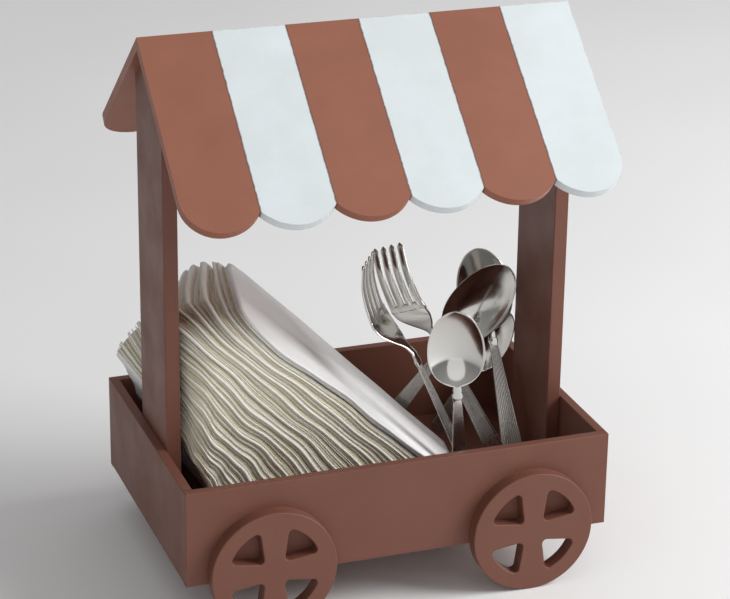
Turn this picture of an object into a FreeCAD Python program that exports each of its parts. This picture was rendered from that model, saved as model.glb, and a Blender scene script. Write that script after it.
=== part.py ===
"""Market-cart napkin and cutlery caddy, in millimetres.

Frame: X runs along the cart's length, -Y is the front, +Z is up.
The origin is on the table, under the middle of the cart.
"""
import FreeCAD, Part
import math
import os

from FreeCAD import Vector

os.makedirs("parts", exist_ok=True)

# ---- driving dimensions ----------------------------------------------------
TRAY_LENGTH = 270.0      # along X, outside
TRAY_DEPTH = 178.0       # along Y, outside: a 165 mm napkin fits inside
TRAY_HEIGHT = 61.0
BOARD = 6.0              # tray and roof board thickness
THICK_BOARD = 9.0        # posts and wheels
EDGE_RADIUS = 0.7        # sanded and painted edges

WHEEL_RADIUS = 39.0
WHEEL_X = 83.0           # wheel centres, either side of the middle
WHEEL_CENTRE_ABOVE_TRAY = 6.0
RIM_WIDTH = 10.0
WINDOW_START = 8.5       # from the wheel's centre to the inner corner of a window
SPOKE_END_WIDTH = 18.0   # spoke width where it meets the rim
WINDOW_CORNER = 2.8

POST_WIDTH = 56.0        # along Y
RIDGE_ABOVE_TRAY = 311.4
ROOF_SLOPE = 40.0        # degrees below the horizontal
EAVE_REACH = 93.5        # from the ridge line to the scallop cusps, along Y
STRIPES = 6
SCALLOP_DROP = 11.5      # from the cusps to the lowest point of a lobe, down the slope

BRAD_RADIUS = 0.6
BRAD_LENGTH = 18.0
BRAD_SET = 0.8           # the head lies this far under the painted surface

CLEARANCE = 0.3          # between loose contents and the cart
NAPKIN_COUNT = 13        # the top one is a body of its own
NAPKIN_GAP = 0.12        # share of the pitch between two napkins that is air
TOP_NAPKIN_THICKNESS = 3.4

# ---- derived levels --------------------------------------------------------
HALF_LENGTH = TRAY_LENGTH / 2
HALF_DEPTH = TRAY_DEPTH / 2
HALF_POST = POST_WIDTH / 2
TRAY_BOTTOM = WHEEL_RADIUS - WHEEL_CENTRE_ABOVE_TRAY
FLOOR_TOP = TRAY_BOTTOM + BOARD
RIM_Z = TRAY_BOTTOM + TRAY_HEIGHT
RIDGE_Z = TRAY_BOTTOM + RIDGE_ABOVE_TRAY
SLOPE = math.radians(ROOF_SLOPE)
UNDER_RIDGE_Z = RIDGE_Z - BOARD / math.cos(SLOPE)
POST_INNER_X = HALF_LENGTH - BOARD - THICK_BOARD
REST_Z = FLOOR_TOP + CLEARANCE
TINY = 1e-6


def export(shape, node):
    """Writes one node and reports its solids."""
    shape.exportStep("parts/" + node + ".step")
    print(node, len(shape.Solids), "solid(s)", round(shape.Volume, 1), "mm3", shape.isValid())


def box(low, high):
    size = high - low
    return Part.makeBox(size.x, size.y, size.z, low)


def soften(shape, on_free_face, radius=EDGE_RADIUS):
    """Rounds the edges whose middle lies on a free face."""
    edges = [edge for edge in shape.Edges if on_free_face(edge.CenterOfMass)]
    return shape.makeFillet(radius, edges)


def near(value, target):
    return abs(value - target) < TINY


# ---- tray ------------------------------------------------------------------
def tray_floor():
    low = Vector(-HALF_LENGTH + BOARD, -HALF_DEPTH + BOARD, TRAY_BOTTOM)
    high = Vector(HALF_LENGTH - BOARD, HALF_DEPTH - BOARD, FLOOR_TOP)
    return box(low, high)


def long_panel(side):
    """Front (side -1) or back (side 1) panel, over the ends of the end panels."""
    outer = side * HALF_DEPTH
    inner = side * (HALF_DEPTH - BOARD)
    low = Vector(-HALF_LENGTH, min(outer, inner), TRAY_BOTTOM)
    high = Vector(HALF_LENGTH, max(outer, inner), RIM_Z)
    return soften(box(low, high), lambda p: near(p.y, outer) or near(p.z, RIM_Z))


def end_panel(side):
    outer = side * HALF_LENGTH
    inner = side * (HALF_LENGTH - BOARD)
    low = Vector(min(outer, inner), -HALF_DEPTH + BOARD, TRAY_BOTTOM)
    high = Vector(max(outer, inner), HALF_DEPTH - BOARD, RIM_Z)

    def free(p):
        middle = near(p.y, 0)
        return middle and (near(p.z, RIM_Z) or (near(p.x, outer) and near(p.z, TRAY_BOTTOM)))
    return soften(box(low, high), free)


# ---- posts and roof --------------------------------------------------------
def post(side):
    """Upright board against the end panel, with a gable-cut top under the roof."""
    shoulder = UNDER_RIDGE_Z - HALF_POST * math.tan(SLOPE)
    x = min(side * POST_INNER_X, side * (POST_INNER_X + THICK_BOARD))
    outline = [
        Vector(x, -HALF_POST, FLOOR_TOP), Vector(x, HALF_POST, FLOOR_TOP),
        Vector(x, HALF_POST, shoulder), Vector(x, 0, UNDER_RIDGE_Z),
        Vector(x, -HALF_POST, shoulder), Vector(x, -HALF_POST, FLOOR_TOP)]
    solid = Part.Face(Part.makePolygon(outline)).extrude(Vector(THICK_BOARD, 0, 0))
    return soften(solid, lambda p: near(abs(p.y), HALF_POST) and p.z > FLOOR_TOP + BOARD
                  and p.z < shoulder - BOARD)


def scalloped_outline(eave):
    """Closed wire of one roof board lying flat: ridge at 0, lobes past `eave`."""
    pitch = TRAY_LENGTH / STRIPES
    corner = pitch / 2
    lobe_bottom = eave + SCALLOP_DROP
    side_end = lobe_bottom - corner
    left = -HALF_LENGTH
    right = HALF_LENGTH
    diagonal = corner * math.sin(math.radians(45))

    def at(x, down):
        return Vector(x, -down, 0)

    def half_lobe(cusp_x, bottom_x):
        """Arc from a cusp to a lobe's lowest point, level there."""
        radius = (corner ** 2 + SCALLOP_DROP ** 2) / (2 * SCALLOP_DROP)
        half_angle = math.asin(corner / radius) / 2
        side = math.copysign(1, cusp_x - bottom_x)
        middle_x = bottom_x + side * radius * math.sin(half_angle)
        middle_down = lobe_bottom - radius * (1 - math.cos(half_angle))
        return Part.Arc(at(cusp_x, eave), at(middle_x, middle_down), at(bottom_x, lobe_bottom))

    edges = [Part.LineSegment(at(right, 0), at(left, 0)),
             Part.LineSegment(at(left, 0), at(left, side_end))]
    edges.append(Part.Arc(at(left, side_end), at(left + corner - diagonal, side_end + diagonal),
                          at(left + corner, lobe_bottom)))
    edges.append(half_lobe(left + pitch, left + corner))
    for k in range(1, STRIPES - 1):
        start = left + k * pitch
        edges.append(half_lobe(start, start + corner))
        edges.append(half_lobe(start + pitch, start + corner))
    edges.append(half_lobe(right - pitch, right - corner))
    edges.append(Part.Arc(at(right - corner, lobe_bottom),
                          at(right - corner + diagonal, side_end + diagonal), at(right, side_end)))
    edges.append(Part.LineSegment(at(right, side_end), at(right, 0)))
    shapes = [edge.toShape() for edge in edges]
    return Part.Wire(Part.__sortEdges__(shapes))


def roof_board(side):
    """One sloping board, mitred on the ridge plane; side -1 is the front."""
    eave = EAVE_REACH / math.cos(SLOPE)
    outline = scalloped_outline(eave)
    flat = Part.Face(outline).extrude(Vector(0, 0, -BOARD))
    flat.rotate(Vector(0, 0, 0), Vector(1, 0, 0), ROOF_SLOPE)
    flat.translate(Vector(0, 0, RIDGE_Z))
    mitre = box(Vector(-HALF_LENGTH - BOARD, 0, 0), Vector(HALF_LENGTH + BOARD, HALF_DEPTH, 2 * RIDGE_Z))
    board = flat.cut(mitre)
    if side > 0:
        board = board.mirror(Vector(0, 0, 0), Vector(0, 1, 0))
    return board


# ---- wheels ----------------------------------------------------------------
def wheel_window():
    """One quadrant opening, centred on the wheel's axis, through the thickness."""
    rim_inner = WHEEL_RADIUS - RIM_WIDTH
    half_spoke = SPOKE_END_WIDTH / 2
    near_hub = WINDOW_START * math.sin(math.radians(45))
    reach = math.sqrt(rim_inner ** 2 - half_spoke ** 2)
    diagonal = rim_inner * math.sin(math.radians(45))
    inner = Vector(near_hub, 0, near_hub)
    tall = Vector(half_spoke, 0, reach)
    wide = Vector(reach, 0, half_spoke)
    bulge = Vector(diagonal, 0, diagonal)
    edges = [Part.LineSegment(inner, tall).toShape(), Part.Arc(tall, bulge, wide).toShape(),
             Part.LineSegment(wide, inner).toShape()]
    prism = Part.Face(Part.Wire(edges)).extrude(Vector(0, THICK_BOARD, 0))
    upright = [edge for edge in prism.Edges if near(edge.CenterOfMass.y, THICK_BOARD / 2)]
    return prism.makeFillet(WINDOW_CORNER, upright)


def wheel(side_x, side_y):
    """Spoked board wheel, glued flat to the panel."""
    disc = Part.makeCylinder(WHEEL_RADIUS, THICK_BOARD, Vector(0, 0, 0), Vector(0, 1, 0))
    window = wheel_window()
    for quarter in range(4):
        turned = window.copy()
        turned.rotate(Vector(0, 0, 0), Vector(0, 1, 0), 90 * quarter)
        disc = disc.cut(turned)
    rounded = [edge for edge in disc.Edges if near(edge.CenterOfMass.y, 0)]
    disc = disc.makeFillet(EDGE_RADIUS, rounded)
    if side_y > 0:
        disc = disc.mirror(Vector(0, 0, 0), Vector(0, 1, 0))
    face_y = side_y * (HALF_DEPTH + THICK_BOARD)
    disc.translate(Vector(side_x * WHEEL_X, face_y, WHEEL_RADIUS))
    return disc


# ---- brads: set under the surface, filled and painted over -----------------
def brad(start, direction):
    head = start + direction * BRAD_SET
    return Part.makeCylinder(BRAD_RADIUS, BRAD_LENGTH, head, direction)


def corner_brads():
    """Through the long panels into the edges of the end panels."""
    group = []
    x = HALF_LENGTH - BOARD / 2
    for side_y in (-1, 1):
        for side_x in (-1, 1):
            for z in (TRAY_BOTTOM + TRAY_HEIGHT * 0.3, TRAY_BOTTOM + TRAY_HEIGHT * 0.8):
                group.append(brad(Vector(side_x * x, side_y * HALF_DEPTH, z), Vector(0, -side_y, 0)))
    return group


def floor_brads():
    """Through the long panels into the floor board."""
    group = []
    z = TRAY_BOTTOM + BOARD / 2
    for side_y in (-1, 1):
        for x in (-TRAY_LENGTH / 3, 0, TRAY_LENGTH / 3):
            group.append(brad(Vector(x, side_y * HALF_DEPTH, z), Vector(0, -side_y, 0)))
    return group


def post_brads():
    """Through the end panels into the posts; short ones, inside both boards."""
    length = BOARD + THICK_BOARD - 3 * BRAD_SET
    group = []
    for side in (-1, 1):
        for y in (-HALF_POST / 2, HALF_POST / 2):
            head = Vector(side * (HALF_LENGTH - BRAD_SET), y, TRAY_BOTTOM + TRAY_HEIGHT * 0.6)
            group.append(Part.makeCylinder(BRAD_RADIUS, length, head, Vector(-side, 0, 0)))
    return group


def roof_brads():
    """Through the roof boards, square to the slope, into the gable tops."""
    group = []
    for side_x in (-1, 1):
        x = side_x * (POST_INNER_X + THICK_BOARD / 2)
        for side_y in (-1, 1):
            down = Vector(0, -side_y * math.sin(SLOPE), -math.cos(SLOPE))
            y = side_y * HALF_POST * 0.6
            start = Vector(x, y, RIDGE_Z - abs(y) * math.tan(SLOPE))
            group.append(brad(start, down))
    return group


# ---- cutlery ---------------------------------------------------------------
METAL = 2.0              # handle thickness


def handle(length, end_width, neck_width):
    """Flat tapered handle from the rounded end at 0 up to `length`, along Z."""
    end = end_width / 2
    neck = neck_width / 2
    edges = [
        Part.Arc(Vector(-end, 0, end * 0.6), Vector(0, 0, 0), Vector(end, 0, end * 0.6)).toShape(),
        Part.LineSegment(Vector(end, 0, end * 0.6), Vector(neck, 0, length)).toShape(),
        Part.LineSegment(Vector(neck, 0, length), Vector(-neck, 0, length)).toShape(),
        Part.LineSegment(Vector(-neck, 0, length), Vector(-end, 0, end * 0.6)).toShape()]
    plate = Part.Face(Part.Wire(edges)).extrude(Vector(0, METAL, 0))
    plate.translate(Vector(0, -METAL / 2, 0))
    return plate


def collar(at, width):
    """The small raised ring where the handle meets the head."""
    height = METAL * 1.5
    ring = Part.makeBox(width, METAL * 1.6, height, Vector(-width / 2, -METAL * 0.8, at - height))
    return ring


def spoon(length, bowl_length, bowl_width, end_width):
    """Spoon standing on its handle end: axis Z, hollow side towards -Y."""
    wall = 1.4
    depth = bowl_width * 0.24
    half_width = bowl_width / 2
    half_length = bowl_length / 2
    offset = (half_width ** 2 - depth ** 2) / (2 * depth)
    neck_z = length - bowl_length
    centre_z = neck_z + half_length

    def lens(shrink):
        rim = offset + TINY
        belly = offset + depth - shrink
        reach = half_length - shrink
        arc = Part.Arc(Vector(0, rim, -reach), Vector(0, belly, 0), Vector(0, rim, reach)).toShape()
        closing = Part.makePolygon([Vector(0, rim, reach), Vector(0, 0, reach), Vector(0, 0, -reach),
                                    Vector(0, rim, -reach)])
        face = Part.Face(Part.Wire(Part.__sortEdges__([arc] + closing.Edges)))
        return face.revolve(Vector(0, 0, 0), Vector(0, 0, 1), 360)

    shell = lens(0).cut(lens(wall))
    size = 4 * bowl_width
    keep = Part.makeBox(size, size, 2 * size, Vector(-size / 2, offset, -size))
    shell = shell.common(keep)
    shell.translate(Vector(0, -offset - METAL / 2, centre_z))
    neck_width = 5.0
    overlap = wall * 2.2
    body = handle(neck_z + overlap, end_width, neck_width)
    body = body.fuse(collar(neck_z - 5, neck_width + 2.4)).fuse(shell)
    return body.removeSplitter()


def bent_strip(centre_line, width):
    """Strip of metal METAL thick following (z, y) points, `width` wide along X."""
    spline = Part.BSplineCurve()
    spline.interpolate([Vector(0, y, z) for z, y in centre_line])
    first, last = spline.FirstParameter, spline.LastParameter
    steps = 24
    sides = ([], [])
    for k in range(steps + 1):
        parameter = first + (last - first) * k / steps
        point = spline.value(parameter)
        along = spline.tangent(parameter)[0]
        normal = Vector(0, along.z, -along.y)
        sides[0].append(point + normal * (METAL / 2))
        sides[1].append(point - normal * (METAL / 2))
    curves = []
    for side in sides:
        curve = Part.BSplineCurve()
        curve.interpolate(side)
        curves.append(curve.toShape())
    caps = [Part.makeLine(sides[0][k], sides[1][k]) for k in (0, -1)]
    face = Part.Face(Part.Wire(Part.__sortEdges__(curves + caps)))
    strip = face.extrude(Vector(width, 0, 0))
    strip.translate(Vector(-width / 2, 0, 0))
    return strip


def fork(length, head_length, head_width, end_width):
    """Fork standing on its handle end: axis Z, hollow side towards -Y."""
    bow = 11.5
    half = head_width / 2
    neck = 2.6
    neck_z = length - head_length
    shoulder = neck_z + head_length * 0.34
    root = neck_z + head_length * 0.42
    slot = head_width * 0.09
    right_side = Part.BSplineCurve()
    right_side.interpolate([Vector(neck, 0, neck_z - 4), Vector(neck * 1.3, 0, neck_z + 4),
                            Vector(half * 0.62, 0, neck_z + head_length * 0.16), Vector(half, 0, shoulder),
                            Vector(half * 0.95, 0, length)])
    right_edge = right_side.toShape()
    left_edge = right_edge.mirror(Vector(0, 0, 0), Vector(1, 0, 0))
    top = Part.makeLine(Vector(half * 0.95, 0, length), Vector(-half * 0.95, 0, length))
    bottom = Part.makeLine(Vector(neck, 0, neck_z - 4), Vector(-neck, 0, neck_z - 4))
    plan = Part.Face(Part.Wire(Part.__sortEdges__([right_edge, left_edge, top, bottom])))
    plan = plan.extrude(Vector(0, 4 * bow, 0))
    plan.translate(Vector(0, -2 * bow, 0))
    for k in (-1, 0, 1):
        x = k * head_width * 0.245
        gap = Part.makeBox(slot, 4 * bow, head_length, Vector(x - slot / 2, -2 * bow, root))
        round_end = Part.makeCylinder(slot / 2, 4 * bow, Vector(x, -2 * bow, root), Vector(0, 1, 0))
        plan = plan.cut(gap).cut(round_end)
    line = [(neck_z - 10, 0), (neck_z - 2, 0.3), (neck_z + head_length * 0.13, bow * 0.45),
            (neck_z + head_length * 0.30, bow * 0.92), (neck_z + head_length * 0.48, bow),
            (neck_z + head_length * 0.75, bow * 0.72), (length, bow * 0.12)]
    head = bent_strip(line, 2 * head_width).common(plan)
    body = handle(neck_z - 1, end_width, 2 * neck)
    body = body.fuse(collar(neck_z - 7, 2 * neck + 2.4)).fuse(head)
    return body.removeSplitter()


def stand(shape, foot, tip, facing):
    """Leans a piece from its foot towards its tip, with its -Y side facing `facing`."""
    axis = (tip - foot).normalize()
    front = (facing - axis * facing.dot(axis)).normalize()
    back = front * -1
    across = back.cross(axis)
    turn = FreeCAD.Rotation(across, back, axis, "ZYX")
    placed = shape.copy()
    placed.Placement = FreeCAD.Placement(foot, turn)
    placed = Part.Shape(placed)
    drop = placed.BoundBox.ZMin - REST_Z
    placed.translate(axis * (-drop / axis.z))
    return placed


GUEST_SIDE = Vector(-0.34, -0.94, 0)      # towards a guest in front of the counter
UP_FRONT = Vector(-0.30, -0.85, 0.30)

CUTLERY = {
    # node: (shape, foot, tip, where the hollow side faces)
    "front_spoon": (spoon(136, 50, 36, 13), Vector(49.7, -61.3, 40), Vector(42.9, -58.9, 176), UP_FRONT),
    "left_fork": (fork(173, 66, 26, 15), Vector(71.5, -36.8, 40), Vector(3.4, -14.0, 199),
                  Vector(0.70, -0.61, 0.37)),
    "front_fork": (fork(172, 66, 27, 16), Vector(100.1, -12.2, 40), Vector(25.2, 14.3, 195.3),
                   Vector(0.70, 0.68, 0.21)),
    "middle_spoon": (spoon(155, 62, 38, 14), Vector(25.8, 46, 40), Vector(109.4, 16.1, 167.5), GUEST_SIDE),
    "right_spoon": (spoon(98, 48, 26, 11), Vector(77.4, 55.1, 40), Vector(120.6, 39.6, 125.8),
                    GUEST_SIDE),
    "back_spoon": (spoon(143, 54, 36, 15), Vector(108.3, -10.1, 40), Vector(101.2, 50.9, 169.1),
                   GUEST_SIDE)}


# ---- napkins ---------------------------------------------------------------
POST_SIDE_X = -POST_INNER_X + CLEARANCE + 0.4
POST_BACK_Y = HALF_POST + 1.2

# Corners of the top napkin's upper face. It is flat, and leans left at about 45 degrees.
TOP_NEAR_UPPER = Vector(-81.5, -35.0, 174.8)
TOP_FAR_UPPER = Vector(-59.8, 78.0, 172.0)
TOP_NEAR_LOWER = Vector(59.8, -44.7, 48.4)


def flat_napkin():
    """The top napkin: a flat parallelogram slab."""
    across = TOP_FAR_UPPER - TOP_NEAR_UPPER
    down = TOP_NEAR_LOWER - TOP_NEAR_UPPER
    normal = down.cross(across).normalize()
    narrow = down.normalize() * 12 - Vector(0, 46, 0)
    far_lower = TOP_NEAR_LOWER + across + narrow
    far_lower.z = TOP_NEAR_LOWER.z
    lift = ((far_lower - TOP_NEAR_UPPER).dot(normal)) / normal.x
    far_lower.x -= lift
    ring = [TOP_NEAR_UPPER, TOP_FAR_UPPER, far_lower, TOP_NEAR_LOWER, TOP_NEAR_UPPER]
    slab = Part.Face(Part.makePolygon(ring)).extrude(normal * -TOP_NAPKIN_THICKNESS)
    return slab, normal, far_lower


# Upper far corners of the stack fan out: (share of the stack, x, z).
FAN = [
    (0, -134.0, 119.0), (0.12, -125.6, 131.0), (0.25, -115.7, 136.5),
    (0.62, -87.0, 160.5), (0.82, -74.0, 168.5)]


def blend(a, b, share):
    return a + (b - a) * share


def fan_corner(share, last_corner):
    """Upper far corner of the surface at `share`, ending on the last surface's corner."""
    y = 78.0
    stops = [(at, Vector(x, y, z)) for at, x, z in FAN] + [(1.0, last_corner)]
    for (low, start), (high, end) in zip(stops, stops[1:]):
        if share <= high:
            return blend(start, end, (share - low) / (high - low))
    return last_corner


def stack_surface(share, last):
    """Three stations, near to far, of (upper, lower) points of one surface of the stack.

    share 0 is the surface against the left post and 1 the one under the top napkin.
    Near the post the napkins are pressed upright against it; behind it they stick out.
    """
    bend = 0.6
    post_top = Vector(POST_SIDE_X, -35.0, 176.0)
    first_near = Vector(POST_SIDE_X, -35.0, 97.0)
    first_mid = Vector(POST_SIDE_X, POST_BACK_Y, 101.0)
    mid_top = Vector(POST_SIDE_X, POST_BACK_Y, 160.0)
    if share < bend:
        near_upper = blend(first_near, post_top, share / bend)
        mid_upper = blend(first_mid, mid_top, share / bend)
    else:
        near_upper = blend(post_top, last["near_upper"], (share - bend) / (1 - bend))
        mid_upper = blend(mid_top, last["mid_upper"], (share - bend) / (1 - bend))
    far_upper = fan_corner(share, last["far_upper"])
    near_lower = blend(Vector(-88, -35, REST_Z), last["near_lower"], share)
    mid_lower = blend(Vector(-91, POST_BACK_Y, REST_Z), last["mid_lower"], share)
    far_lower = blend(Vector(-95, 78, REST_Z), last["far_lower"], share)
    return [(near_upper, near_lower), (mid_upper, mid_lower), (far_upper, far_lower)]


def skin(front, back):
    """Closed solid between two three-station surfaces, built of triangles."""
    faces = []

    def quad(a, b, c, d):
        for ring in ((a, b, c, a), (a, c, d, a)):
            faces.append(Part.Face(Part.makePolygon(ring)))

    for k in range(len(front) - 1):
        (fu, fl), (gu, gl) = front[k], front[k + 1]
        (bu, bl), (cu, cl) = back[k], back[k + 1]
        quad(fu, fl, gl, gu)
        quad(bu, bl, cl, cu)
        quad(fu, gu, cu, bu)
        quad(fl, gl, cl, bl)
    for k in (0, -1):
        quad(front[k][0], front[k][1], back[k][1], back[k][0])
    shell = Part.Shell(faces)
    solid = Part.Solid(shell)
    if solid.Volume < 0:
        solid.reverse()
    return solid


def napkin_stack(normal, far_lower):
    """The leaning napkins under the top one, first against the post."""
    air = CLEARANCE + 0.5
    under = normal * -(TOP_NAPKIN_THICKNESS + air)
    down_near = (TOP_NEAR_LOWER - TOP_NEAR_UPPER).normalize()
    down_far = (far_lower - TOP_FAR_UPPER).normalize()

    def to_floor(point, direction):
        return point + direction * ((point.z - REST_Z) / -direction.z)
    near_upper = TOP_NEAR_UPPER + under
    far_upper = TOP_FAR_UPPER + under
    near_lower = to_floor(TOP_NEAR_LOWER + under, down_near)
    far_floor = to_floor(far_lower + under, down_far)
    share = (POST_BACK_Y - near_upper.y) / (far_upper.y - near_upper.y)
    last = {"near_upper": near_upper, "far_upper": far_upper,
            "mid_upper": blend(near_upper, far_upper, share),
            "near_lower": near_lower, "far_lower": far_floor,
            "mid_lower": blend(near_lower, far_floor, share)}
    count = NAPKIN_COUNT - 1
    napkins = []
    for k in range(count):
        lower = stack_surface(k / count, last)
        upper = stack_surface((k + 1 - NAPKIN_GAP) / count, last)
        napkins.append(skin(lower, upper))
    return napkins


# ---- assembly --------------------------------------------------------------
def build():
    boards = {
        "tray_floor": tray_floor(),
        "tray_front_panel": long_panel(-1), "tray_back_panel": long_panel(1),
        "tray_left_end": end_panel(-1), "tray_right_end": end_panel(1),
        "left_post": post(-1), "right_post": post(1),
        "roof_front_panel": roof_board(-1), "roof_back_panel": roof_board(1)}
    fasteners = {
        "tray_corner_brads": corner_brads(), "tray_floor_brads": floor_brads(),
        "post_brads": post_brads(), "roof_brads": roof_brads()}
    for name, board in boards.items():
        for group in fasteners.values():
            for one in group:
                if board.BoundBox.intersect(one.BoundBox):
                    board = board.cut(one)
        export(board, name)
    for name, group in fasteners.items():
        export(Part.makeCompound(group), name)
    for side_y, row in ((-1, "front"), (1, "back")):
        for side_x, hand in ((-1, "left"), (1, "right")):
            export(wheel(side_x, side_y), "wheel_" + row + "_" + hand)
    for name, (shape, foot, tip, facing) in CUTLERY.items():
        export(stand(shape, foot, tip, facing), name)
    top, normal, far_lower = flat_napkin()
    for number, napkin in enumerate(napkin_stack(normal, far_lower), start=1):
        export(napkin, "napkin_%02d" % number)
    export(top, "top_napkin")


build()
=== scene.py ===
"""Looks of the market-cart napkin and cutlery caddy. Metres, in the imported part's own frame."""

import math
import random

import bpy
from mathutils import Euler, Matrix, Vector


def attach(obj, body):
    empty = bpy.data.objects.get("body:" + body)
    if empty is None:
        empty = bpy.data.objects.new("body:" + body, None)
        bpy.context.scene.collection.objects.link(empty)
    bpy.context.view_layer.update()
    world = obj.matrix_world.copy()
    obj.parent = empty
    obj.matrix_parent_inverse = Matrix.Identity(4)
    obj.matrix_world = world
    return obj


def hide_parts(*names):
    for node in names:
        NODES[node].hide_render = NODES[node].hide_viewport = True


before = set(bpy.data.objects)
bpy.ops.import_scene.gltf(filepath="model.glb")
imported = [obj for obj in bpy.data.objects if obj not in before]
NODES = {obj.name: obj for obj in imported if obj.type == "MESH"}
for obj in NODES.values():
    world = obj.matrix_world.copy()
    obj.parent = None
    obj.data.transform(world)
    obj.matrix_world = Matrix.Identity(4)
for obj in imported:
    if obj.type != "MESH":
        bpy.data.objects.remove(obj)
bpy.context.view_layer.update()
MM = 0.001
HALF_LENGTH = 0.135        # of the tray and roof, along X
STRIPES = 6
NAPKINS_UNDER_TOP = 12
rng = random.Random(7)


# ---- node helpers ----------------------------------------------------------
class Shader:
    """A material's node tree, with short calls for the nodes used here."""

    def __init__(self, name):
        self.material = bpy.data.materials.new(name)
        self.material.use_nodes = True
        self.tree = self.material.node_tree
        self.bsdf = self.tree.nodes["Principled BSDF"]
        self.position = self.node("ShaderNodeTexCoord").outputs["Object"]

    def node(self, kind, **settings):
        made = self.tree.nodes.new(kind)
        for key, value in settings.items():
            setattr(made, key, value)
        return made

    def put(self, socket, value):
        if isinstance(value, bpy.types.NodeSocket):
            self.tree.links.new(value, socket)
        else:
            socket.default_value = value

    def math(self, operation, a, b=0.0, c=0.0):
        made = self.node("ShaderNodeMath", operation=operation)
        for socket, value in zip(made.inputs, (a, b, c)):
            self.put(socket, value)
        return made.outputs[0]

    def noise(self, scale, detail=2.0, roughness=0.5, stretch=None):
        where = self.position
        if stretch:
            mapping = self.node("ShaderNodeMapping")
            self.put(mapping.inputs["Vector"], where)
            mapping.inputs["Scale"].default_value = stretch
            where = mapping.outputs[0]
        made = self.node("ShaderNodeTexNoise")
        self.put(made.inputs["Vector"], where)
        made.inputs["Scale"].default_value = scale
        made.inputs["Detail"].default_value = detail
        made.inputs["Roughness"].default_value = roughness
        return made.outputs["Fac"]

    def specks(self, scale, size):
        """1 at the middle of scattered small dots, 0 elsewhere."""
        made = self.node("ShaderNodeTexVoronoi")
        self.put(made.inputs["Vector"], self.position)
        made.inputs["Scale"].default_value = scale
        return self.ramp(made.outputs["Distance"], 0.0, size, 1.0, 0.0)

    def ramp(self, value, low, high, at_low=0.0, at_high=1.0):
        made = self.node("ShaderNodeMapRange")
        for socket, number in zip(made.inputs[:5], (value, low, high, at_low, at_high)):
            self.put(socket, number)
        return made.outputs[0]

    def mix(self, share, a, b):
        made = self.node("ShaderNodeMix", data_type="RGBA")
        self.put(made.inputs["Factor"], share)
        self.put(made.inputs["A"], a)
        self.put(made.inputs["B"], b)
        return made.outputs["Result"]

    def attribute(self, name):
        return self.node("ShaderNodeAttribute", attribute_name=name).outputs["Fac"]

    def bump(self, height, distance, strength=1.0, under=None):
        made = self.node("ShaderNodeBump")
        made.inputs["Strength"].default_value = strength
        made.inputs["Distance"].default_value = distance
        self.put(made.inputs["Height"], height)
        if under:
            self.put(made.inputs["Normal"], under)
        return made.outputs[0]

    def finish(self, colour, roughness, normal=None, **constants):
        self.put(self.bsdf.inputs["Base Color"], colour)
        self.put(self.bsdf.inputs["Roughness"], roughness)
        if normal:
            self.put(self.bsdf.inputs["Normal"], normal)
        for key, value in constants.items():
            self.bsdf.inputs[key.replace("_", " ")].default_value = value
        return self.material


def rgb(red, green, blue):
    """sRGB 0-255 to a linear colour."""
    def linear(c):
        c = c / 255
        return c / 12.92 if c <= 0.04045 else ((c + 0.055) / 1.055) ** 2.4
    return (linear(red), linear(green), linear(blue), 1.0)


BROWN = rgb(119, 76, 62)
BROWN_DARK = rgb(114, 72, 59)
# Painted light: the roof browns are a lighter copy of the body brown, standing in for the stronger
# light on the roof's upward faces.
ROOF_BROWN_LIT = rgb(152, 97, 77)
ROOF_BROWN_LIT_DARK = rgb(145, 92, 73)
BROWN_WORN = rgb(158, 112, 94)
WHITE = rgb(221, 229, 232)
WHITE_SOILED = rgb(213, 221, 223)
# Partly painted shade: a dark line for the paint ridge between the stripes and the shade beside it.
PAINT_RIDGE_AND_SHADE = rgb(96, 66, 58)
PAPER = rgb(247, 245, 238)
STEEL = rgb(206, 204, 200)


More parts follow.
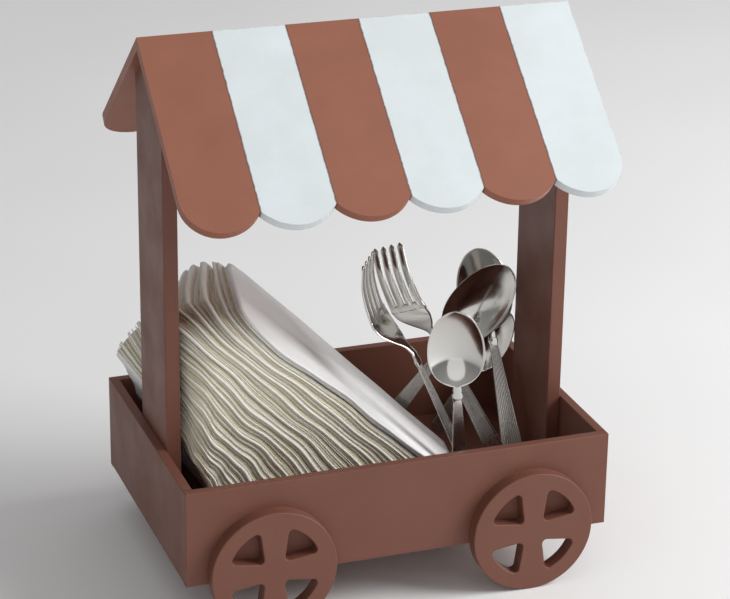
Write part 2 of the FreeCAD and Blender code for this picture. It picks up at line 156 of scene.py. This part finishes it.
# ---- paint -----------------------------------------------------------------
def painted(name, striped=False):
    """Satin paint on fibreboard: roller stipple, dust nibs and rubbed edges."""
    s = Shader(name)
    cloudy = s.noise(22.0, 4.0, 0.6)
    # The striped roof takes the lighter copy of the brown, which is painted light.
    dark, light = (ROOF_BROWN_LIT_DARK, ROOF_BROWN_LIT) if striped else (BROWN_DARK, BROWN)
    colour = s.mix(s.ramp(cloudy, 0.35, 0.7), dark, light)
    if striped:
        white = s.mix(s.ramp(cloudy, 0.4, 0.75), WHITE_SOILED, WHITE)
        split = s.node("ShaderNodeSeparateXYZ")
        s.put(split.inputs[0], s.position)
        wobble = s.math("MULTIPLY_ADD", s.noise(260.0, 3.0, 0.6), 0.0012, -0.0006)
        across = s.math("ADD", split.outputs["X"], wobble)
        count = s.math("DIVIDE", s.math("ADD", across, HALF_LENGTH), 2 * HALF_LENGTH / STRIPES)
        # The end faces take the colour of the outermost stripe.
        count = s.math("MINIMUM", s.math("MAXIMUM", count, 0.03), STRIPES - 0.03)
        parity = s.math("MODULO", s.math("FLOOR", count), 2.0)
        from_middle = s.math("FRACT", s.math("ADD", count, 0.5))
        to_edge = s.math("ABSOLUTE", s.math("SUBTRACT", from_middle, 0.5))
        facing = s.node("ShaderNodeSeparateXYZ")
        s.put(facing.inputs[0], s.node("ShaderNodeNewGeometry").outputs["Normal"])
        side = s.math("SIGN", split.outputs["Y"])
        outward = s.math("MULTIPLY", facing.outputs["Y"], side)
        on_top = s.math("GREATER_THAN", outward, -0.3)      # the underside stays brown
        striped_colour = s.mix(parity, colour, white)
        inner_boundary = s.math("LESS_THAN", s.math("ABSOLUTE", split.outputs["X"]), 0.12)
        # A dark line along the inner stripe boundaries: partly a paint ridge, partly painted shade.
        line = s.math("MULTIPLY", s.ramp(to_edge, 0.007, 0.016, 0.75, 0.0), inner_boundary)
        striped_colour = s.mix(line, striped_colour, PAINT_RIDGE_AND_SHADE)
        colour = s.mix(on_top, colour, striped_colour)
    bevel = s.node("ShaderNodeBevel")
    bevel.inputs["Radius"].default_value = 0.0009
    dot = s.node("ShaderNodeVectorMath", operation="DOT_PRODUCT")
    s.put(dot.inputs[0], bevel.outputs[0])
    s.put(dot.inputs[1], s.node("ShaderNodeNewGeometry").outputs["Normal"])
    edge = s.ramp(dot.outputs["Value"], 0.97, 0.86)
    rubbed = s.math("MULTIPLY", edge, s.ramp(s.noise(90.0, 5.0, 0.7), 0.42, 0.62))
    colour = s.mix(s.math("MULTIPLY", rubbed, 0.6), colour, BROWN_WORN if not striped else light)
    nibs = s.specks(150.0, 0.09)
    colour = s.mix(s.math("MULTIPLY", nibs, 0.12), colour, BROWN_WORN)
    stipple = s.noise(900.0, 2.0, 0.6)
    drag = s.noise(160.0, 3.0, 0.6, stretch=(0.25, 1.0, 1.6))
    normal = s.bump(drag, 0.00022, 0.5)
    normal = s.bump(stipple, 0.00009, 0.6, normal)
    normal = s.bump(nibs, 0.0002, 0.5, normal)
    roughness = s.ramp(s.noise(40.0, 3.0), 0.3, 0.7, 0.42, 0.56)
    return s.finish(colour, roughness, normal, Specular_IOR_Level=0.35)


# ---- paper -----------------------------------------------------------------
def paper(name, colour, shade, depth):
    """Soft tissue with a fine emboss; `depth` is how much the shade colour shows."""
    s = Shader(name)
    fibres = s.noise(1400.0, 3.0, 0.7)
    crinkle = s.noise(75.0, 4.0, 0.55)
    mixed = s.mix(s.ramp(crinkle, 0.3, 0.75, 0.0, depth), colour, shade)
    dots = s.specks(620.0, 0.35)
    normal = s.bump(crinkle, 0.0006, 0.35)
    normal = s.bump(dots, 0.00012, 0.35, normal)
    normal = s.bump(fibres, 0.00005, 0.5, normal)
    s.finish(mixed, 0.86, normal, Specular_IOR_Level=0.2)
    s.bsdf.inputs["Sheen Weight"].default_value = 0.15
    s.bsdf.inputs["Sheen Roughness"].default_value = 0.6
    s.bsdf.inputs["Subsurface Weight"].default_value = 0.25
    s.bsdf.inputs["Subsurface Radius"].default_value = (0.004, 0.004, 0.0032)
    s.bsdf.inputs["Subsurface Scale"].default_value = 0.5
    return s.material


def plies(name):
    """The inner layers seen between two folds: thin lines of paper and shade."""
    s = Shader(name)
    layer = s.attribute("layer")
    wobble = s.math("MULTIPLY", s.noise(60.0, 3.0), 1.6)
    wave = s.math("SINE", s.math("MULTIPLY", s.math("ADD", layer, wobble), 2 * math.pi))
    lines = s.ramp(wave, -0.6, 1.0, 0.0, 1.0)
    # Painted shade: the beige colours and the darker lines stand for the shade in the gaps between
    # the folds.
    colour = s.mix(lines, rgb(212, 202, 173), rgb(238, 233, 217))
    colour = s.mix(s.ramp(s.noise(30.0, 2.0), 0.35, 0.7, 0.0, 0.5), colour, rgb(208, 197, 166))
    normal = s.bump(wave, 0.0003, 0.3)
    normal = s.bump(s.noise(900.0, 3.0, 0.7), 0.0001, 0.5, normal)
    return s.finish(colour, 0.9, normal, Specular_IOR_Level=0.15)


# ---- metal -----------------------------------------------------------------
def steel(name, roughness_low, roughness_high, tint):
    """Polished stainless with fine wiping marks; ribs run along the handle."""
    s = Shader(name)
    rib = s.attribute("rib")
    across = s.attribute("across")
    smudge = s.noise(60.0, 4.0, 0.6)
    marks = s.noise(700.0, 2.0, 0.5)
    grooves = s.math("SINE", s.math("MULTIPLY", across, 2 * math.pi * 4.5))
    groove_height = s.math("MULTIPLY", grooves, rib)
    # Painted shade: the bottoms of the handle grooves are darkened toward a brown grey.
    groove_shade = s.math("MULTIPLY", s.ramp(grooves, -0.2, -1.0), rib)
    colour = s.mix(s.math("MULTIPLY", groove_shade, 0.55), tint, rgb(96, 84, 76))
    normal = s.bump(groove_height, 0.0003, 0.5)
    normal = s.bump(marks, 0.00001, 0.15, normal)
    roughness = s.math("ADD", s.ramp(smudge, 0.35, 0.7, roughness_low, roughness_high),
                       s.math("MULTIPLY", rib, 0.14))
    return s.finish(colour, roughness, normal, Metallic=1.0)


BROWN_PAINT = painted("brown_paint")
ROOF_PAINT = painted("striped_roof_paint", striped=True)
PAPER_EDGE = paper("paper_edge", PAPER, rgb(232, 228, 214), 0.3)
PAPER_FACE = paper("paper_face", rgb(249, 250, 249), rgb(240, 242, 241), 0.4)
PAPER_INSIDE_SHADE = plies("paper_inside_shade")
CUTLERY_STEEL = steel("stainless", 0.09, 0.17, STEEL)
BRAD_STEEL = steel("steel_brads", 0.3, 0.45, rgb(170, 168, 165))


def dress(node, material):
    """Gives a kept CAD node its material."""
    shape = NODES[node]
    for number in range(len(shape.data.materials)):
        shape.data.materials[number] = material
    if not shape.data.materials:
        shape.data.materials.append(material)


for node in ("tray_floor", "tray_front_panel", "tray_back_panel", "tray_left_end", "tray_right_end",
             "left_post", "right_post", "wheel_front_left", "wheel_front_right", "wheel_back_left",
             "wheel_back_right"):
    dress(node, BROWN_PAINT)
for node in ("roof_front_panel", "roof_back_panel"):
    dress(node, ROOF_PAINT)
for node in ("tray_corner_brads", "tray_floor_brads", "post_brads", "roof_brads"):
    dress(node, BRAD_STEEL)


# ---- mesh helpers ----------------------------------------------------------
def make_object(name, points, faces, materials, face_material=None, attributes=None):
    mesh = bpy.data.meshes.new(name)
    mesh.from_pydata([tuple(p) for p in points], [], faces)
    for material in materials:
        mesh.materials.append(material)
    for number, polygon in enumerate(mesh.polygons):
        polygon.use_smooth = True
        if face_material:
            polygon.material_index = face_material[number]
    for key, values in (attributes or {}).items():
        mesh.attributes.new(key, "FLOAT", "POINT").data.foreach_set("value", values)
    mesh.validate()
    made = bpy.data.objects.new(name, mesh)
    bpy.context.scene.collection.objects.link(made)
    return made


# ---- napkins ---------------------------------------------------------------
STEPS_DOWN = 54
BACKS = (0, 0.01, 0.03, 0.06, 0.1, 0.15, 0.2, 0.26, 0.33, 0.5, 0.7, 0.85, 0.93, 0.97, 1)
STEPS_BACK = len(BACKS) - 1
NAPKIN_DEPTH = 0.113
INNER_PLIES = 6           # with the two outer leaves, eight layers: a napkin folded to an eighth
# The INSIDE slot holds the painted shade seen between the folds.
EDGE, FACE, INSIDE = 0, 1, 2      # material slots

# Sideways waves in mm: (height, cycles down, shift per napkin, phase, turn towards the back).
WAVES = ((0.9, 1.15, 0.045, 0.10, 0.8), (0.65, 2.6, -0.09, 0.35, 1.7), (0.30, 5.3, 0.17, 0.6, -2.0))
BULGE_HEIGHT = 2.2        # mm, on the lowest napkin
BULGE_DOWN = 0.56
BULGE_WIDTH = 0.13
FLAT_BEYOND = 0.12        # the top napkin waves only this far in from its near edge


def slab_corners(node):
    """The CAD slab's corners, near to far: (left upper, right upper, left lower, right lower)."""
    seen = {}
    for vertex in NODES[node].data.vertices:
        seen[tuple(round(c, 5) for c in vertex.co)] = vertex.co.copy()
    points = sorted(seen.values(), key=lambda p: p.z)
    half = len(points) // 2
    rows = []
    for group in (points[half:], points[:half]):
        group.sort(key=lambda p: p.y)
        rows.append([sorted(group[k:k + 2], key=lambda p: p.x + p.z) for k in range(0, half, 2)])
    return [(upper[0], upper[1], lower[0], lower[1]) for upper, lower in zip(*rows)]


def at_station(stations, back):
    """Interpolates the stations; `back` runs 0 near to 1 far."""
    depths = [s[2].y for s in stations]
    y = depths[0] + (depths[-1] - depths[0]) * back
    for low, high in zip(stations, stations[1:]):
        if y <= high[2].y + 1e-9:
            share = (y - low[2].y) / (high[2].y - low[2].y)
            return [a.lerp(b, share) for a, b in zip(low, high)]
    return list(stations[-1])


def wobble(number, down, back):
    """Sideways wave of the sheet in mm, shared by neighbours so that they nest."""
    settle = min(1.0, 6 * max(0.0, 1 - down))
    wave = 0.0
    for height, cycles, shift, phase, turn in WAVES:
        cycle = cycles * down + shift * number + phase
        wave += height * math.sin(2 * math.pi * cycle + turn * back)
    low_stack = max(0.0, 1 - number / NAPKINS_UNDER_TOP)
    bulge = BULGE_HEIGHT * low_stack * math.exp(-((down - BULGE_DOWN) / BULGE_WIDTH) ** 2)
    if number > NAPKINS_UNDER_TOP:
        settle *= 0.2 + 0.8 * max(0.0, 1 - back / FLAT_BEYOND)
    return (wave * (0.95 + 0.6 * low_stack) + bulge) * settle


def corner_drop(back, near_radius, far_radius):
    """How far the rounded folded corners lie under the slab's top edge."""
    drop = 0.0
    for radius, along in ((near_radius, back), (far_radius, 1 - back)):
        inside = 1 - min(1.0, along * NAPKIN_DEPTH / radius)
        drop = max(drop, radius * (1 - math.sqrt(1 - inside ** 2)))
    return drop


class Sheet:
    """Collects the points and faces of one folded napkin."""

    def __init__(self, stations, number, near_radius, far_radius):
        self.stations = stations
        self.number = number
        self.radii = (near_radius, far_radius)
        self.points = []
        self.faces = []
        self.slots = []
        self.layer = []

    def point(self, across, down, back, rise=0.0):
        """A point of the slab: `across` 0 left to 1 right, `down` 0 top to 1 floor."""
        lu, ru, ll, rl = at_station(self.stations, back)
        upper = lu.lerp(ru, across)
        lower = ll.lerp(rl, across)
        along = lower - upper
        start = corner_drop(back, *self.radii) / along.length
        down = start + (1 - start) * down
        p = upper + along * down
        normal = Vector((-along.z, 0, along.x)).normalized()
        if normal.z < 0:
            normal = -normal
        p = p + normal * (wobble(self.number + across, down, back) * MM)
        return p - along.normalized() * rise

    def close(self, base, side_slot, edge_slot):
        """Faces around the two-sided grid of points that starts at `base`."""
        columns = STEPS_BACK + 1
        side_size = columns * (STEPS_DOWN + 1)

        def index(side, row, column):
            return base + side * side_size + row * columns + column

        def add(slot, *corners):
            self.faces.append([index(*corner) for corner in corners])
            self.slots.append(slot)
        for row in range(STEPS_DOWN):
            for column in range(STEPS_BACK):
                add(side_slot, (0, row, column), (0, row, column + 1),
                    (0, row + 1, column + 1), (0, row + 1, column))
                add(side_slot, (1, row, column), (1, row + 1, column),
                    (1, row + 1, column + 1), (1, row, column + 1))
            for column, order in ((0, 1), (STEPS_BACK, -1)):
                ring = [(0, row, column), (0, row + 1, column),
                        (1, row + 1, column), (1, row, column)]
                add(edge_slot, *ring[::order])
        for row, order in ((0, 1), (STEPS_DOWN, -1)):
            for column in range(STEPS_BACK):
                ring = [(0, row, column), (1, row, column),
                        (1, row, column + 1), (0, row, column + 1)]
                add(edge_slot, *ring[::order])

    def leaf(self, across, thickness, front, slot, extra_top=0.0):
        """An outer leaf whose near edge lies `front` in and whose top rises by `extra_top`."""
        base = len(self.points)
        for side in (-0.5, 0.5):
            for row in range(STEPS_DOWN + 1):
                down = row / STEPS_DOWN
                for back in BACKS:
                    rise = extra_top * (1 - down) ** 8 * (0.4 + 0.6 * back ** 2)
                    p = self.point(across, down, back, rise)
                    q = self.point(across + 0.02, down, back, rise)
                    p = p + (q - p).normalized() * (thickness * side)
                    p.y += front * (1 - back) - front * 0.3 * back
                    self.points.append(p)
                    self.layer.append(side)
        self.close(base, slot, slot)

    def ply(self, left, right, front, lowered, lines_before, lines_after):
        """One inner ply from share `left` to `right` of the slab, set back from the edges."""
        base = len(self.points)
        for across, lines in ((left, lines_before), (right, lines_after)):
            for row in range(STEPS_DOWN + 1):
                down = lowered + (1 - lowered) * row / STEPS_DOWN
                for back in BACKS:
                    p = self.point(across, down, back)
                    p.y += front * (1 - back) - front * back
                    self.points.append(p)
                    self.layer.append(lines)
        self.close(base, FACE, INSIDE)

    def plies(self, left, right, front, lowered, lines):
        """The inner plies, side by side; `lines` shaded lines run along their edges."""
        for number in range(INNER_PLIES):
            start, end = number / INNER_PLIES, (number + 1) / INNER_PLIES
            self.ply(left + (right - left) * start, left + (right - left) * end,
                     front + (number % 2) * 0.3 * MM, lowered, lines * start, lines * end)

    def build(self, node, body):
        """Makes the object, hides its CAD node and ties the object to its body.

        Unfolded it is four times as wide and twice as long as the slab.
        """
        materials = [PAPER_EDGE, PAPER_FACE, PAPER_INSIDE_SHADE]
        made = make_object(node + "_paper", self.points, self.faces, materials, self.slots,
                           {"layer": self.layer})
        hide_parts(node)
        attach(made, body)


def napkin(node, number):
    """One napkin of the stack: a bold leaf, a fine leaf and six plies between and around them."""
    rises = 0.4 if number < 6 else 1.0
    near_radius = (24 + 8 * rng.random()) * MM
    far_radius = (4 + 3 * rng.random()) * MM
    sheet = Sheet(slab_corners(node), number, near_radius, far_radius)
    bold = 0.12 + 0.66 * rng.random()
    fine = bold + 0.40 if bold < 0.45 else bold - 0.40
    bold_thickness = (1.3 + 1.1 * rng.random()) * MM
    sheet.leaf(bold, bold_thickness, 0.0, EDGE, rises * (2 + 4 * rng.random()) * MM)
    sheet.leaf(fine, (0.5 + 0.5 * rng.random()) * MM, 0.5 * MM, EDGE, rises * 1.5 * MM)
    sheet.plies(-0.05, 1.05, 0.8 * MM, 0.004 + rng.random() * 0.008, 3)
    sheet.build(node, "cart")


def top_napkin():
    """The napkin on top: a flat folded sheet that shows its white face."""
    sheet = Sheet(slab_corners("top_napkin"), NAPKINS_UNDER_TOP + 0.4, 26 * MM, 16 * MM)
    sheet.leaf(0.78, 1.5 * MM, 0.0, FACE)
    sheet.leaf(0.30, 1.1 * MM, 0.6 * MM, EDGE)
    sheet.plies(0.02, 0.80, 0.8 * MM, 0.006, 2)
    sheet.build("top_napkin", "top_napkin")


for number in range(1, NAPKINS_UNDER_TOP + 1):
    napkin("napkin_%02d" % number, number)
top_napkin()


# ---- cutlery ---------------------------------------------------------------
RING = 28                 # points round one cross-section
HALF_METAL = 0.85         # mm, half the handle's thickness
REST_Z = 39.4             # mm, where the handle ends stand


def smooth_steps(stops, position):
    """Catmull-Rom value at `position` through (position, value) stops."""
    if position <= stops[0][0]:
        return stops[0][1]
    for k in range(len(stops) - 1):
        (p1, v1), (p2, v2) = stops[k], stops[k + 1]
        if position <= p2:
            p0, v0 = stops[k - 1] if k else (2 * p1 - p2, v1)
            p3, v3 = stops[k + 2] if k + 2 < len(stops) else (2 * p2 - p1, v2)
            t = (position - p1) / (p2 - p1)
            m1 = (v2 - v0) / (p2 - p0) * (p2 - p1)
            m2 = (v3 - v1) / (p3 - p1) * (p2 - p1)
            return ((2 * t ** 3 - 3 * t ** 2 + 1) * v1 + (t ** 3 - 2 * t ** 2 + t) * m1
                    + (-2 * t ** 3 + 3 * t ** 2) * v2 + (t ** 3 - t ** 2) * m2)
    return stops[-1][1]


class Blade:
    """Lofts flat rounded cross-sections up the local Z axis, in millimetres."""

    def __init__(self):
        self.points = []
        self.faces = []
        self.rib = []
        self.across = []

    def loft(self, stations):
        """Stations: (z, centre x, centre y, half width, half thickness, dish, square, ribbed)."""
        base = len(self.points)
        for z, x, y, half, thick, dish, square, ribbed in stations:
            for k in range(RING):
                angle = 2 * math.pi * k / RING
                side = math.cos(angle)
                face = math.copysign(abs(math.sin(angle)) ** square, math.sin(angle))
                bowed = y + thick * face + dish * (1 - side * side)
                self.points.append(Vector((x + half * side, bowed, z)))
                self.rib.append(ribbed)
                self.across.append(side)
        for row in range(len(stations) - 1):
            for k in range(RING):
                a = base + row * RING + k
                b = base + row * RING + (k + 1) % RING
                self.faces.append([a, b, b + RING, a + RING])
        last = base + (len(stations) - 1) * RING
        self.faces.append([base + k for k in range(RING)][::-1])
        self.faces.append([last + k for k in range(RING)])

    def place(self, name, foot, tip, facing):
        """Leans the piece from foot to tip, hollow side to `facing`, and ties it to its node."""
        axis = (tip - foot).normalized()
        front = (facing - axis * facing.dot(axis)).normalized()
        back = -front
        across = back.cross(axis)
        placed = [foot + across * p.x + back * p.y + axis * p.z for p in self.points]
        drop = min(p.z for p in placed) - REST_Z
        placed = [(p - axis * (drop / axis.z)) * MM for p in placed]
        made = make_object(name + "_metal", placed, self.faces, [CUTLERY_STEEL],
                           attributes={"rib": self.rib, "across": self.across})
        smooth_sides = [len(face) == 4 for face in self.faces]
        made.data.polygons.foreach_set("use_smooth", smooth_sides)
        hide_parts(name)
        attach(made, name)


def handle_stations(neck_z, end_width, neck, collar_at):
    """Ribbed handle from its rounded end to the neck, with a raised collar."""
    stations = []
    end = end_width / 2
    steps = [0.15, 0.5, 1.0, 1.8, 3.0, 4.5, 6.5]
    z = 9.0
    while z < neck_z:
        steps.append(z)
        z += 1.5 if collar_at - 5 < z < collar_at + 6 else 3.0
    for z in steps:
        share = z / neck_z
        half = end + (neck - end) * min(1.0, share * 1.02)
        if z < end * 0.9:
            half = end * math.sqrt(max(0.0, 1 - (1 - z / (end * 0.9)) ** 2)) * 0.98 + 0.1
        ring = math.exp(-((z - collar_at) / 1.7) ** 2)
        ring += 0.6 * math.exp(-((z - collar_at - 4.2) / 1.0) ** 2)
        ribbed = max(0.0, min(1.0, (collar_at - 3 - z) / 3)) * min(1.0, z / 6)
        stations.append((z, 0.0, 0.0, half + 0.9 * ring, HALF_METAL + 0.5 * ring, 0.0, 0.45,
                         ribbed))
    return stations


def spoon(length, bowl_length, bowl_width, end_width):
    """Handle and bowl in one loft; the bowl is widest a little below its middle."""
    blade = Blade()
    neck_z = length - bowl_length
    stations = handle_stations(neck_z, end_width, 2.3, neck_z - 6.5)
    widest = 0.44
    depth = bowl_width * 0.205
    count = 34
    for k in range(count + 1):
        q = 0.5 - 0.5 * math.cos(math.pi * k / count)
        reach = (widest - q) / widest if q < widest else (q - widest) / (1 - widest)
        power = 2.0 if q > widest else 2.2
        half = bowl_width / 2 * max(0.0, 1 - reach ** power) ** 0.5 * 0.985
        hollow = depth * max(0.0, 1 - reach ** 2)
        from_neck = max(0.0, min(1.0, q / 0.10))
        half = max(half, 2.2 * (1 - from_neck) + 0.15)
        stations.append((neck_z + q * bowl_length * 0.995, 0.0, -0.1 * from_neck, half,
                         HALF_METAL - 0.25 * from_neck, hollow, 0.45 + 0.15 * from_neck, 0.0))
    blade.loft(stations)
    return blade


def fork(length, head_length, head_width, end_width):
    """Handle and palm in one loft, then four tines; `bow` is how far the head arches back."""
    blade = Blade()
    bow = 11.3
    neck_z = length - head_length
    root = neck_z + head_length * 0.42
    profile = [(neck_z - 12, 0.0), (neck_z - 2, 0.3), (neck_z + head_length * 0.13, bow * 0.45),
               (neck_z + head_length * 0.30, bow * 0.92), (neck_z + head_length * 0.48, bow),
               (neck_z + head_length * 0.75, bow * 0.72), (length, bow * 0.12)]
    widths = [(neck_z - 2, 2.6), (neck_z + 4, 3.2),
              (neck_z + head_length * 0.16, head_width * 0.30),
              (neck_z + head_length * 0.27, head_width * 0.455),
              (neck_z + head_length * 0.36, head_width * 0.495), (root + 4, head_width * 0.485)]
    stations = handle_stations(neck_z, end_width, 2.6, neck_z - 8.5)
    count = 22
    for k in range(count + 1):
        z = neck_z + (root + 1.5 - neck_z) * k / count
        half = smooth_steps(widths, z) * 0.99
        dish = 0.9 * k / count
        stations.append((z, 0.0, smooth_steps(profile, z), half, HALF_METAL, dish, 0.5, 0.0))
    blade.loft(stations)
    tine_pitch = head_width * 0.245
    tine = (tine_pitch - head_width * 0.05) / 2
    for number in range(4):
        x = (number - 1.5) * tine_pitch
        dish = 0.9 * (1 - (x / (head_width / 2)) ** 2)
        stations = []
        count = 26
        for k in range(count + 1):
            q = k / count
            z = root - 3.5 + (length - 0.2 - root + 3.5) * q
            half = tine * (1 - 0.2 * q)
            if q < 0.16:
                half += (tine_pitch / 2 - tine) * (1 - q / 0.16) ** 2
            if q > 0.93:
                half *= math.sqrt(max(0.02, 1 - ((q - 0.93) / 0.07) ** 2))
            x_here = x * (1 - 0.03 * q)
            stations.append((z, x_here, smooth_steps(profile, z) + dish * (1 - q) ** 0.5, half,
                             0.95 - 0.25 * q, 0.0, 0.5, 0.0))
        blade.loft(stations)
    return blade


GUEST_SIDE = Vector((-0.34, -0.94, 0))
UP_FRONT = Vector((-0.30, -0.85, 0.30))

CUTLERY = {
    # node: (blade, foot, tip, where the hollow side faces), in mm
    "front_spoon": (spoon(136, 50, 36, 13), (49.7, -61.3, 40), (42.9, -58.9, 176), UP_FRONT),
    "left_fork": (fork(173, 66, 26, 15), (71.5, -36.8, 40), (3.4, -14.0, 199),
                  Vector((0.70, -0.61, 0.37))),
    "front_fork": (fork(172, 66, 27, 16), (100.1, -12.2, 40), (25.2, 14.3, 195.3),
                   Vector((0.70, 0.68, 0.21))),
    "middle_spoon": (spoon(155, 62, 38, 14), (25.8, 46, 40), (109.4, 16.1, 167.5), GUEST_SIDE),
    "right_spoon": (spoon(98, 48, 26, 11), (77.4, 55.1, 40), (120.6, 39.6, 125.8), GUEST_SIDE),
    "back_spoon": (spoon(143, 54, 36, 15), (108.3, -10.1, 40), (101.2, 50.9, 169.1),
                   GUEST_SIDE)}
for name, (blade, foot, tip, facing) in CUTLERY.items():
    blade.place(name, Vector(foot), Vector(tip), facing)


# ---- floor, light and camera -----------------------------------------------
MIDDLE = Vector((0, 0, 0.15))      # the lamps aim here, in metres


def floor():
    """The pale plain ground the cart stands on."""
    reach = 3.0
    corners = [(-reach, -reach, 0), (reach, -reach, 0), (reach, reach, 0), (-reach, reach, 0)]
    s = Shader("pale_floor")
    grey = s.mix(s.ramp(s.noise(3.0), 0.3, 0.7), (0.88, 0.88, 0.88, 1), (0.91, 0.91, 0.91, 1))
    material = s.finish(grey, 0.7, Specular_IOR_Level=0.2)
    make_object("floor", corners, [[0, 1, 2, 3]], [material])


def area_light(name, at, size, power):
    light = bpy.data.lights.new(name, "AREA")
    light.shape = "DISK"
    light.size = size
    light.energy = power
    lamp = bpy.data.objects.new(name, light)
    lamp.location = at
    lamp.rotation_euler = (MIDDLE - Vector(at)).to_track_quat("-Z", "Y").to_euler()
    bpy.context.scene.collection.objects.link(lamp)


def studio_sky(horizon, zenith):
    """Soft light from above that falls off towards a dim horizon."""
    world = bpy.data.worlds.new("studio")
    world.use_nodes = True
    tree = world.node_tree
    direction = tree.nodes.new("ShaderNodeTexCoord").outputs["Generated"]
    split = tree.nodes.new("ShaderNodeSeparateXYZ")
    ramp = tree.nodes.new("ShaderNodeMapRange")
    tree.links.new(direction, split.inputs[0])
    tree.links.new(split.outputs["Z"], ramp.inputs["Value"])
    for socket, number in zip(ramp.inputs[1:5], (0.05, 0.9, horizon, zenith)):
        socket.default_value = number
    background = tree.nodes["Background"]
    background.inputs["Color"].default_value = (1.0, 1.0, 1.0, 1)
    tree.links.new(ramp.outputs[0], background.inputs["Strength"])
    bpy.context.scene.world = world


floor()
studio_sky(0.26, 0.48)
bpy.context.scene.view_settings.view_transform = "Standard"
area_light("key", (1.85, -0.85, 1.38), 1.5, 54)
area_light("front_fill", (-0.5, -1.9, 0.55), 1.8, 5)

camera_data = bpy.data.cameras.new("camera")
camera_data.sensor_width = 36.0
camera_data.lens = 126.2
camera_data.clip_start = 0.05
camera = bpy.data.objects.new("camera", camera_data)
camera.location = (-0.49375, -1.37624, 0.75946)
camera.rotation_euler = Euler([math.radians(a) for a in (67.883, -0.739, -19.686)])
bpy.context.scene.collection.objects.link(camera)
bpy.context.scene.camera = camera
